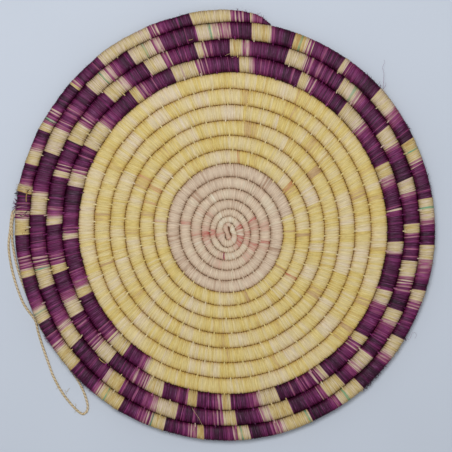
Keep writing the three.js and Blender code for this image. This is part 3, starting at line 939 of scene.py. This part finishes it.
def matt_board():
    """A matt laminate board, pale and cool, all but even: it only shows the shadow."""
    material, tree = new_material("matt laminate board")
    place = add_node(tree, "ShaderNodeTexCoord").outputs["Object"]
    base = colours().floor
    tone = dye_ramp(tree, noise(tree, place, 6.0, 2.0), ((0.3, shade(base, 0.98)), (0.7, shade(base, 1.02))))
    add_surface(tree, {"Base Color": tone, "Roughness": 0.7})
    return material


MATERIALS = {}


def finish_of(make):
    """A material, made once."""
    if make.__name__ not in MATERIALS:
        MATERIALS[make.__name__] = make()
    return MATERIALS[make.__name__]


# Single strands: stitches, loose fibres, twine


def unit(vectors):
    return vectors / np.maximum(np.linalg.norm(vectors, axis=-1, keepdims=True), 1e-9)


def smooth_path(points, count):
    """A centripetal curve through points, at even lengths."""
    points = np.asarray(points, float)
    ends = np.concatenate([[2 * points[0] - points[1]], points, [2 * points[-1] - points[-2]]])
    fine = []
    for i in range(1, len(ends) - 2):
        p0, p1, p2, p3 = ends[i - 1 : i + 3]
        t1 = np.linalg.norm(p1 - p0) ** 0.5
        t2 = t1 + np.linalg.norm(p2 - p1) ** 0.5
        t3 = t2 + np.linalg.norm(p3 - p2) ** 0.5
        t = np.linspace(t1, t2, 24, endpoint=False)[:, None]
        a1 = (t1 - t) / t1 * p0 + t / t1 * p1
        a2 = (t2 - t) / (t2 - t1) * p1 + (t - t1) / (t2 - t1) * p2
        a3 = (t3 - t) / (t3 - t2) * p2 + (t - t2) / (t3 - t2) * p3
        b1 = (t2 - t) / t2 * a1 + t / t2 * a2
        b2 = (t3 - t) / (t3 - t1) * a2 + (t - t1) / (t3 - t1) * a3
        fine.append((t2 - t) / (t2 - t1) * b1 + (t - t1) / (t2 - t1) * b2)
    fine = np.concatenate([*fine, points[-1:]])
    gone = lengths_along(fine)
    even = np.linspace(0, gone[-1], count)
    return np.stack([np.interp(even, gone, fine[:, axis]) for axis in range(3)], -1), gone[-1]


def lengths_along(path):
    return np.concatenate([[0], np.cumsum(np.linalg.norm(np.diff(path, axis=0), axis=1))])


def round_section(path, side, up, half_width, half_thickness, sides):
    """Rings of points round a path, each ring's last point on its first."""
    around = np.linspace(0, 2 * math.pi, sides + 1)
    points = (
        path[:, None, :]
        + side[:, None, :] * (half_width * np.cos(around))[..., None]
        + up[:, None, :] * (half_thickness * np.sin(around))[..., None]
    )
    points[:, -1] = points[:, 0]
    return points


def path_frames(path, up=(0, 0, 1)):
    """Sideways and upward unit vectors along a path, carried along without twisting."""
    ahead = unit(np.gradient(path, axis=0))
    side = np.cross(ahead[0], up)
    side = side / np.linalg.norm(side)
    sides = []
    for direction in ahead:
        side = side - direction * np.dot(side, direction)
        side = side / np.linalg.norm(side)
        sides.append(side)
    sides = np.array(sides)
    return sides, np.cross(sides, ahead)


class StrandSet:
    """Many short strands in one mesh, each a small closed tube."""

    def __init__(self, name):
        self.name = name
        self.shape = bmesh.new()
        # Each strand carries its dye, a tint, and a mix of painted shade and dirt that darkens it.
        self.layers = {key: self.shape.verts.layers.float.new(key) for key in ("dye", "tint", "grime")}
        self.fibre = self.shape.loops.layers.uv.new("fibre")

    def lay(self, path, half_width, dye, half_thickness=None, up=(0, 0, 1), **look):
        """A strand along a path, round unless it has a thickness, that doesn't twist on its way."""
        side, up = path_frames(path, up)
        half_width = np.broadcast_to(half_width, len(path))
        half_thickness = half_width if half_thickness is None else half_thickness
        self.add(path, half_width, half_thickness, side, up, dye, **look)

    def add(self, path, half_width, half_thickness, side, up, dye, grime=0.0, sides=6):
        """A strand along a path with an oval section; widths and thicknesses are given along the path."""
        rings = len(path)
        made = bmesh.ops.create_grid(self.shape, x_segments=sides, y_segments=rings - 1, size=1)
        verts = made["verts"]
        points = round_section(path, side, up, half_width[:, None], half_thickness[:, None], sides)
        placed = in_frame(points).reshape(-1, 3)
        gone = lengths_along(path)
        for i, vert in enumerate(verts):
            vert.co = placed[i]
            vert[self.layers["dye"]] = dye
            vert[self.layers["tint"]] = 0.0
            vert[self.layers["grime"]] = grime
        index = {vert: i for i, vert in enumerate(verts)}
        start = float(placed[0, 0]) * 1e5 % 997
        for face in {face for vert in verts for face in vert.link_faces}:
            for loop in face.loops:
                i = index[loop.vert]
                ring, column = divmod(i, sides + 1)
                across = float(half_width[ring]) * 2 * column / sides
                loop[self.fibre].uv = (start + across, float(gone[ring]))

    def finish(self, material):
        mesh = bpy.data.meshes.new(self.name)
        weld_and_close(self.shape, mesh, 2e-6)
        mesh.materials.append(material)
        return add_piece(self.name, mesh)


def row_surface(turn, offset, top=True):
    """Height of a row's skin, by the distance across from the row's middle."""
    _, half_width, half_height, level = (float(v) for v in row_at(turn))
    share = min(1.0, abs(offset) / half_width)
    rise = half_height * (1 - share**SECTION_POWER) ** (1 / SECTION_POWER)
    return level + (rise if top else -rise)


def add_stitch(strands, groove_turn, dye, width, rng, top):
    """A strand that leaves the outer row's skin, bridges the groove and enters the row inside it."""
    groove = float(wobbly_groove(groove_turn))
    sign = 1 if top else -1
    outer_middle, outer_half, _, _ = (float(v) for v in row_at(groove_turn))
    inner_middle = float(row_at(groove_turn - 1)[0])
    # Stitches are shorter where the rows are narrow, near the middle.
    scale = min(1.0, outer_half / 5)
    reach = [step * scale for step in (2.0, 1.3, 0.6, -0.15, -0.9, -1.5)]
    reach[-1] -= rng.uniform(0, 0.5)
    rows = [(groove_turn, outer_middle) if step >= 0 else (groove_turn - 1, inner_middle) for step in reach]
    heights = [row_surface(turn, groove + step - middle, top) for step, (turn, middle) in zip(reach, rows)]
    heights[3] = (heights[2] + heights[4]) / 2 - sign * 0.25 * scale
    lifts = (0.0, 0.34, 0.56, 0.5, 0.5, -0.05)
    out, on = (v[0] for v in directions(np.array([groove_turn])))
    slant = rng.uniform(-0.15, 0.15) + float(lean_at(COIL.length_at(groove_turn)))
    path = [
        out * (groove + step) - on * slant * step + (0, 0, height + sign * lift)
        for step, height, lift in zip(reach, heights, lifts)
    ]
    smooth, _ = smooth_path(path, 8)
    taper = np.interp(np.linspace(0, 1, 8), (0, 0.3, 0.6, 0.85, 1), (0.75, 1, 0.8, 0.45, 0.15))
    half_width = width / 2 * max(scale, 0.65) * taper
    thickness = half_width * 0.35 + 0.05
    smooth[:, 2] = np.maximum(smooth[:, 2], thickness + 0.03)
    strands.lay(smooth, half_width, dye, thickness)


# Operators, one for each piece or group of like pieces


class WALL_BASKET_OT_stage(bpy.types.Operator):
    """Set up the camera straight above, the pale floor and the soft light"""

    bl_idname = "wall_basket.stage"
    bl_label = "Stage"

    def execute(self, context):
        camera_data = bpy.data.cameras.new("camera")
        camera = bpy.data.objects.new("camera", camera_data)
        context.scene.collection.objects.link(camera)
        camera_data.sensor_width = 36
        camera_data.lens = 36 * CAMERA_DISTANCE / SEEN_ACROSS
        camera_data.clip_start = 0.05
        camera_data.clip_end = 20
        x, y, height = LOOKED_AT
        camera.location = (x, y, CAMERA_DISTANCE + height)
        context.scene.camera = camera

        shape = bmesh.new()
        bmesh.ops.create_grid(shape, x_segments=1, y_segments=1, size=2.5)
        bmesh.ops.translate(shape, verts=shape.verts, vec=(0, 0, -0.0001))
        mesh = bpy.data.meshes.new("floor")
        shape.to_mesh(mesh)
        shape.free()
        floor = bpy.data.objects.new("floor", mesh)
        context.scene.collection.objects.link(floor)
        mesh.materials.append(finish_of(matt_board))

        self.lamp(context, "key", (-0.12, 0.3, 1.5), (-0.25, 1.1, 0), 0.5, 15.5)
        self.lamp(context, "fill", (-0.1, -0.05, 1.8), (-0.25, 0.5, 0), 1.4, 6.6)
        world = bpy.data.worlds.new("studio")
        context.scene.world = world
        world.use_nodes = True
        background = world.node_tree.nodes["Background"]
        background.inputs["Color"].default_value = linear_colour("#F4F6FA")
        background.inputs["Strength"].default_value = 0.3
        context.scene.view_settings.view_transform = "Standard"
        return {"FINISHED"}

    def lamp(self, context, name, place, aim, size, power):
        data = bpy.data.lights.new(name, "AREA")
        data.shape = "SQUARE"
        data.size = size
        data.energy = power
        lamp = bpy.data.objects.new(name, data)
        lamp.location = place
        direction = mathutils.Vector(aim) - lamp.location
        lamp.rotation_euler = direction.to_track_quat("-Z", "Y").to_euler()
        context.scene.collection.objects.link(lamp)


def tie_place():
    """At the tie: the directions outwards and onwards, and the knot's level, height and outer face."""
    turn = np.array([TIE_TURN])
    inner = groove_radius(turn) + ROW_GAP / 2
    pitch = groove_radius(turn + 1) - groove_radius(turn)
    share = np.interp(turn - (END_TURN - 1), *zip(*LAST_TURN_WIDTHS))
    outer = groove_radius(turn) + pitch * share - ROW_GAP / 2
    middle = float((inner + outer)[0] / 2)
    half_width = float((outer - inner)[0] / 2)
    half_height = min(ROW_HEIGHT_MOST, 2 * half_width * HEIGHT_TO_WIDTH) / 2
    level = ROW_HEIGHT_MOST / 2 + float(rim_rise(middle))
    out, on = directions(turn)
    top = level - half_height - 2 * SEAT_GAP - LASHING_THICKNESS
    return {
        "out": out[0],
        "on": on[0],
        "level": (KNOT_FLOOR + top) / 2,
        "height": top - KNOT_FLOOR,
        "face": middle + half_width - KNOT_INSET,
    }


def at_knot(tie, side, away):
    """A point on one of the twine's two runs at the knot, so far from its face."""
    along = tie["on"] * side * TWINE_SPREAD / 2
    return tie["out"] * (tie["face"] + SEAT_GAP + away) + along + (0, 0, tie["level"])


class WALL_BASKET_OT_hanging_loop(bpy.types.Operator):
    """Twist the two-ply twine loop and tie its knot under the rim"""

    bl_idname = "wall_basket.hanging_loop"
    bl_label = "Hanging Loop"

    def execute(self, context):
        tie = tie_place()
        diameter = mm(basket().twine_diameter)
        path, length = smooth_path(self.route(tie, diameter), 900)
        side, up = path_frames(path)
        gone = np.linspace(0, length, len(path))
        sides = 14
        turned = 2 * math.pi * gone / mm(basket().twine_lay)
        ply = np.linspace(0, 2 * math.pi, sides + 1)[None, :] - turned[:, None]
        lobe = np.abs(np.cos(ply))
        radius = diameter / 2 * (0.68 + 0.22 * lobe) * (1.02 + 0.07 * ripple(gone / 5, 43))[:, None]
        points = round_section(path, side, up, radius, radius, sides)
        points[..., 2] = np.maximum(points[..., 2], SKIN_FLOOR)
        fibre = np.stack([ply * diameter / 2, np.broadcast_to(gone[:, None], ply.shape)], -1)
        tone = 0.55 + 0.25 * ripple(gone / 9, 3)[:, None]
        # Painted shade in the hollows between the plies.
        attributes = {"dye": tone, "tint": 0.0, "grime": np.clip(0.95 - 1.3 * lobe, 0, 1)}
        twine = tube_object("twine_loop", points, fibre, attributes)
        twine.data.materials.append(finish_of(twine_raffia))
        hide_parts("hanging_loop")
        knot = self.knot(tie)
        self.whiskers()
        return {"FINISHED"}

    def route(self, tie, diameter):
        """The twine's way from the knot and back. Near the tie its second run lies partly on the first."""
        outwards = (0, diameter / 2, diameter)
        points = [at_knot(tie, 1, away) for away in outwards]
        middle, spread, farthest = TWINE_GATHER
        for i, (x, y) in enumerate(TWINE_ROUTE):
            gathered = math.exp(-(((y - middle) / spread) ** 2)) if x < farthest else 0
            shift, lift = FIRST_RUN_MOVE if i < len(TWINE_ROUTE) / 2 else SECOND_RUN_MOVE
            points.append((x + gathered * shift, y, diameter / 2 + TWINE_FLOOR + gathered * lift))
        return points + [at_knot(tie, -1, away) for away in reversed(outwards)]

    def whiskers(self):
        """A few fibres that have sprung out of the twine."""
        hairs = StrandSet("twine_fibres")
        for places in TWINE_FIBRES:
            path, _ = smooth_path([(*in_picture(x, y), 1.1) for x, y in places], 6)
            hairs.lay(path, np.linspace(0.16, 0.09, len(path)), 0.4, sides=4)
        piece = hairs.finish(finish_of(twine_raffia))

    def knot(self, tie):
        """An overhand knot: one fat strand that passes over and under itself, and the twine's two ends."""
        half_width, half_depth = KNOT_WIDTH / 2 - 0.9, KNOT_DEPTH / 2 - 0.9
        around = np.linspace(0, 2 * math.pi, 60)
        x = half_width * (np.sin(around) + 0.55 * np.sin(2 * around)) / 1.3
        y = half_depth * (np.cos(around) - 0.55 * np.cos(2 * around)) / 1.3
        z = -np.sin(3 * around) * (tie["height"] / 2 - 0.95)
        middle = tie["out"] * (tie["face"] - KNOT_DEPTH / 2) + (0, 0, tie["level"])
        path = middle + x[:, None] * tie["on"] + y[:, None] * tie["out"] + z[:, None] * np.array((0, 0, 1))
        strands = StrandSet("loop_knot_strands")
        strands.lay(path, 0.95, 0.45, up=(0.3, 0.2, 1), grime=0.25, sides=12)
        for side in (-1, 1):
            path, _ = smooth_path([at_knot(tie, side, away) for away in (-2.5, 0.1)], 6)
            strands.lay(path, 0.82, 0.5, grime=0.3, sides=10)
        knot = strands.finish(finish_of(twine_raffia))
        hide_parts("loop_knot")
        return knot


class WrappingOperator:
    """What the three wrapping operators share."""

    def wrap(self, zone, finish, slot, dyed_shade=0.0):
        for _, _, node in zone_cuts(zone):
            name = node.replace("wrap", "raffia").replace("end_binding", "tail_binding")
            piece = coil_sleeve(name, node, finish, dyed_shade)


class WALL_BASKET_OT_pink_centre(WrappingOperator, bpy.types.Operator):
    """Wrap the first five turns in pinkish raffia"""

    bl_idname = "wall_basket.pink_centre"
    bl_label = "Pink Centre"

    def execute(self, context):
        finish = finish_of(pink_raffia)
        self.wrap("pink", finish, "pink_raffia")
        self.fold(finish)
        self.stems(finish)
        return {"FINISHED"}

    def fold(self, finish):
        """The start of the bundle, folded back on itself in the middle."""
        rng = np.random.default_rng(8)
        marks = np.concatenate([[0], np.cumsum(rng.uniform(0.75, 1.3, FOLD_WRAPS))])
        marks *= FOLD_LENGTH / marks[-1]
        rings = wrap_rings(marks, rng.uniform(-0.1, 0.1, FOLD_WRAPS), mm(basket().wrap_relief))
        dye = np.clip(0.75 + rng.normal(0, 0.15, FOLD_WRAPS), 0, 1)
        tint = np.linspace(0.3, 0.8, FOLD_WRAPS) * rng.uniform(0.4, 1, FOLD_WRAPS)
        piece = wrapped_tube("folded_start", rings, fold_shape, dye, tint, finish)
        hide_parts("first_bend")

    def stems(self, finish):
        """A few stems of the bundle in the slit beside the fold, painted fully dark: they stand for the
        slit's deep shade.
        """
        stems = StrandSet("bundle_start")
        for x in np.linspace(-2.4, 2.4, 6):
            places = ((x - 1, 4.2, 4.8), (x, 1, 4.6), (x + 1, -2.6, 4.6), (x + 1.2, -5, 4.8))
            path, _ = smooth_path(places, 10)
            # Full painted shade on the stems, for the deep slit.
            stems.lay(path, 0.6, 0.1, grime=1.0)
        piece = stems.finish(finish)


class WALL_BASKET_OT_golden_field(WrappingOperator, bpy.types.Operator):
    """Wrap the wide field in golden raffia"""

    bl_idname = "wall_basket.golden_field"
    bl_label = "Golden Field"

    def execute(self, context):
        self.wrap("gold", finish_of(gold_raffia), "gold_raffia")
        return {"FINISHED"}


class WALL_BASKET_OT_plum_border(WrappingOperator, bpy.types.Operator):
    """Wrap the last turns in strands that run from natural to plum"""

    bl_idname = "wall_basket.plum_border"
    bl_label = "Plum Border"

    def execute(self, context):
        # The dyed raffia gets deeper painted shade in its grooves and valleys.
        self.wrap("plum", finish_of(plum_raffia), "plum_raffia", dyed_shade=1.0)
        return {"FINISHED"}


class WALL_BASKET_OT_stitches(bpy.types.Operator):
    """Stitch each row to the row inside it, on the face and on the back"""

    bl_idname = "wall_basket.stitches"
    bl_label = "Stitches"

    def execute(self, context):
        rng = np.random.default_rng(77)
        finishes = {"pink": pink_raffia, "gold": gold_raffia, "plum": plum_raffia}
        spacing = mm(basket().stitch_spacing)
        width = mm(basket().stitch_width)
        for zone, start, end, _ in ZONES:
            strands = StrandSet(zone + "_stitches")
            last = COIL.length_at(min(end, END_TURN - 0.06))
            length = COIL.length_at(max(start, 0.12)) + 3
            while length < last - 2:
                turn = float(COIL.turn_at(length))
                dye = wraps().dye_at(zone, length) + rng.normal(0, 0.04)
                add_stitch(strands, turn, dye, width, rng, top=True)
                add_stitch(strands, turn + 0.0004, dye, width, rng, top=False)
                # Stitches come closer together in the middle turns.
                length += min(spacing, 4.6 + 1.3 * turn) * rng.uniform(0.85, 1.15)
            piece = strands.finish(finish_of(finishes[zone]))
        return {"FINISHED"}


def in_picture(x, y):
    """A place in the picture, in its pixels, as millimetres from the spiral's middle."""
    return (x - SPIRAL_PIXEL[0]) * MM_PER_PIXEL, (SPIRAL_PIXEL[1] - y) * MM_PER_PIXEL


def skin_height(x, y):
    """Height of the basket's upper skin at a place, or zero beside the basket."""
    radius = math.hypot(x, y)
    angle = (math.degrees(math.atan2(x, y)) % 360) / 360
    turns = angle + np.arange(-1, 16)
    turns = turns[(turns >= START_TURN) & (turns <= END_TURN)]
    inner, outer = row_span(turns)
    inside = np.nonzero((inner - 0.3 <= radius) & (radius <= outer + 0.3))[0]
    if not len(inside):
        return 0.0
    turn = turns[inside[-1]]
    middle = float(row_at(turn)[0])
    return row_surface(turn, radius - middle)


def lay_on_basket(points, lift, count=14):
    """A path over the basket's skin through places in the picture."""
    flat = [(*in_picture(x, y), 0) for x, y in points]
    path, _ = smooth_path(flat, count)
    heights = np.array([skin_height(x, y) for x, y, _ in path])
    straight = np.linspace(heights[0], heights[-1], count)
    path[:, 2] = np.maximum(heights, straight - 1) + lift
    return path


HOOP_SIDES = 32
ROUGH_BINDING_TURN = 14 + 281.8 / 360
# How far each hoop lies from the middle of its band, how askew it is, and its dye.
LASHING_HOOPS = (
    (-3.5, 0.2, 0.34), (-2.7, -0.4, 0.24), (-1.9, 0.5, 0.42), (-1.1, -0.3, 0.28), (-0.3, 0.4, 0.33),
    (0.4, -0.2, 0.24),
)
ROUGH_HOOPS = (
    (-2.2, 0.4, 0.05), (-1.5, -0.5, 0.16), (-0.8, 0.8, 0.06), (0, -0.8, 0.17), (0.7, 0.5, 0.05),
    (1.4, -0.4, 0.16), (2.2, 0.3, 0.2),
)


class WALL_BASKET_OT_rim_tie(bpy.types.Operator):
    """Lash the loop to the last row, with the rough natural binding above it"""

    bl_idname = "wall_basket.rim_tie"
    bl_label = "Rim Tie"

    def execute(self, context):
        rng = np.random.default_rng(19)
        band = StrandSet("lashing_strands")
        for shift, slant, dye in LASHING_HOOPS:
            self.hoop(band, TIE_TURN, shift, slant, dye, 0.5, 0.42, rng)
        piece = band.finish(finish_of(plum_raffia))
        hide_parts("loop_lashing")

        rough = StrandSet("rough_binding")
        for shift, slant, dye in ROUGH_HOOPS:
            self.hoop(rough, ROUGH_BINDING_TURN, shift, slant, dye, 0.58, 0.45, rng)
        loose_end = lay_on_basket([(27.5, 192), (26.8, 194.5), (26.4, 198), (26.6, 201.5)], 0.75)
        width = np.linspace(0.5, 0.35, len(loose_end))
        rough.lay(loose_end, width, 0.0, width * 0.4, grime=0.5)
        piece = rough.finish(finish_of(plum_raffia))
        return {"FINISHED"}

    def hoop(self, strands, turn, shift, slant, dye, half_width, proud, rng):
        """One strand wound round the row at a turn, a little askew."""
        middle, half, half_height, level = (float(v) for v in row_at(turn))
        out, on = (v[0] for v in directions(np.array([turn])))
        angle = np.linspace(0, 2 * math.pi, HOOP_SIDES + 1)
        grow = proud + rng.uniform(0, 0.15)
        across, height = section_outline(HOOP_SIDES)
        across, height = across * (half + grow), height * (half_height + grow)
        onward = shift + slant * across / half + 0.15 * np.sin(3 * angle + rng.uniform(0, 6))
        path = out * (middle + across)[:, None] + on * onward[:, None]
        path[:, 2] = np.maximum(level + height, 0.25)
        ahead = unit(np.gradient(path, axis=0))
        up = unit(out * (across / half)[:, None] + np.array((0, 0, 1)) * (height / half_height)[:, None])
        side = unit(np.cross(ahead, up))
        width = np.full(len(path), half_width)
        strands.add(path, width, width * 0.32, side, up, dye, grime=rng.uniform(0.1, 0.5))


class WALL_BASKET_OT_loose_fibres(bpy.types.Operator):
    """Let short fibres stand out round the rim and lie across a few rows"""

    bl_idname = "wall_basket.loose_fibres"
    bl_label = "Loose Fibres"

    def execute(self, context):
        rng = np.random.default_rng(23)
        hairs = StrandSet("loose_fibres")
        thin = mm(basket().hair_diameter)
        for middle, spread, count, longest, thicker in FRAYED_PLACES:
            for _ in range(count):
                turn = 14 + (middle + rng.uniform(-spread, spread)) / 360
                self.rim_hair(hairs, turn, rng, rng.uniform(0.3, 1) * longest, thin * thicker)
        for points, dye, thick in LYING_FIBRES:
            self.fibre(hairs, lay_on_basket(points, 0.75), thick, dye)
        for points, dye, thick in STANDING_FIBRES:
            flat = [(*in_picture(x, y), 7 - i * 0.6) for i, (x, y) in enumerate(points)]
            path, _ = smooth_path(flat, 16)
            self.fibre(hairs, path, thick, dye)
        piece = hairs.finish(finish_of(plum_raffia))
        return {"FINISHED"}

    def fibre(self, hairs, path, diameter, dye):
        hairs.lay(path, diameter / 2 * np.linspace(1, 0.5, len(path)), dye, sides=4)

    def rim_hair(self, hairs, turn, rng, length, diameter):
        """A fibre that stands out of the rim and curls a little."""
        middle, half, half_height, level = (float(v) for v in row_at(turn))
        out, on = (v[0] for v in directions(np.array([turn])))
        start = out * (middle + half * 0.97) + (0, 0, level + half_height * rng.uniform(-0.4, 0.5))
        lean = rng.uniform(-1.1, 1.1)
        rise = rng.uniform(-0.4, 0.3)
        curl = rng.uniform(-0.5, 0.5)
        steps = np.linspace(0, 1, 5)[:, None]
        ahead = out + on * lean + (0, 0, rise)
        path = start + ahead * steps * length + (on * curl - (0, 0, 0.25)) * steps**2 * length
        path[:, 2] = np.maximum(path[:, 2], 0.3)
        index = np.argmin(np.abs(wraps().middles["plum"] - COIL.length_at(turn)))
        dye = float(wraps().dyes["plum"][index])
        self.fibre(hairs, path, diameter, max(dye, 0.1))


class WALL_BASKET_OT_grass_bundle(bpy.types.Operator):
    """Give the bundle inside the wrapping its dry grass finish"""

    bl_idname = "wall_basket.grass_bundle"
    bl_label = "Grass Bundle"

    def execute(self, context):
        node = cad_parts["foundation_coil"]
        node.data.materials.clear()
        node.data.materials.append(finish_of(dry_grass))
        return {"FINISHED"}


class WALL_BASKET_PT_panel(bpy.types.Panel):
    """The basket's sizes, colours and building steps"""

    bl_label = "Wall Basket"
    bl_idname = "WALL_BASKET_PT_panel"
    bl_space_type = "VIEW_3D"
    bl_region_type = "UI"
    bl_category = "Wall Basket"

    def draw(self, context):
        for group in (context.scene.wall_basket_sizes, context.scene.wall_basket_colours):
            box = self.layout.box()
            for label in group.bl_rna.properties.keys():
                if label not in ("rna_type", "name"):
                    box.prop(group, label)
        for operator in OPERATORS:
            self.layout.operator(operator.bl_idname)


OPERATORS = (
    WALL_BASKET_OT_stage,
    WALL_BASKET_OT_hanging_loop,
    WALL_BASKET_OT_pink_centre,
    WALL_BASKET_OT_golden_field,
    WALL_BASKET_OT_plum_border,
    WALL_BASKET_OT_stitches,
    WALL_BASKET_OT_rim_tie,
    WALL_BASKET_OT_loose_fibres,
    WALL_BASKET_OT_grass_bundle,
)
CLASSES = (BasketSizes, BasketColours, *OPERATORS, WALL_BASKET_PT_panel)


def register():
    for cls in CLASSES:
        bpy.utils.register_class(cls)
    bpy.types.Scene.wall_basket_sizes = bpy.props.PointerProperty(type=BasketSizes)
    bpy.types.Scene.wall_basket_colours = bpy.props.PointerProperty(type=BasketColours)


def unregister():
    del bpy.types.Scene.wall_basket_colours
    del bpy.types.Scene.wall_basket_sizes
    for cls in reversed(CLASSES):
        bpy.utils.unregister_class(cls)


def main():
    register()
    bpy.ops.wall_basket.stage()
    bpy.ops.wall_basket.hanging_loop()
    bpy.ops.wall_basket.pink_centre()
    bpy.ops.wall_basket.golden_field()
    bpy.ops.wall_basket.plum_border()
    bpy.ops.wall_basket.stitches()
    bpy.ops.wall_basket.rim_tie()
    bpy.ops.wall_basket.loose_fibres()
    bpy.ops.wall_basket.grass_bundle()


if __name__ == "__main__":
    main()
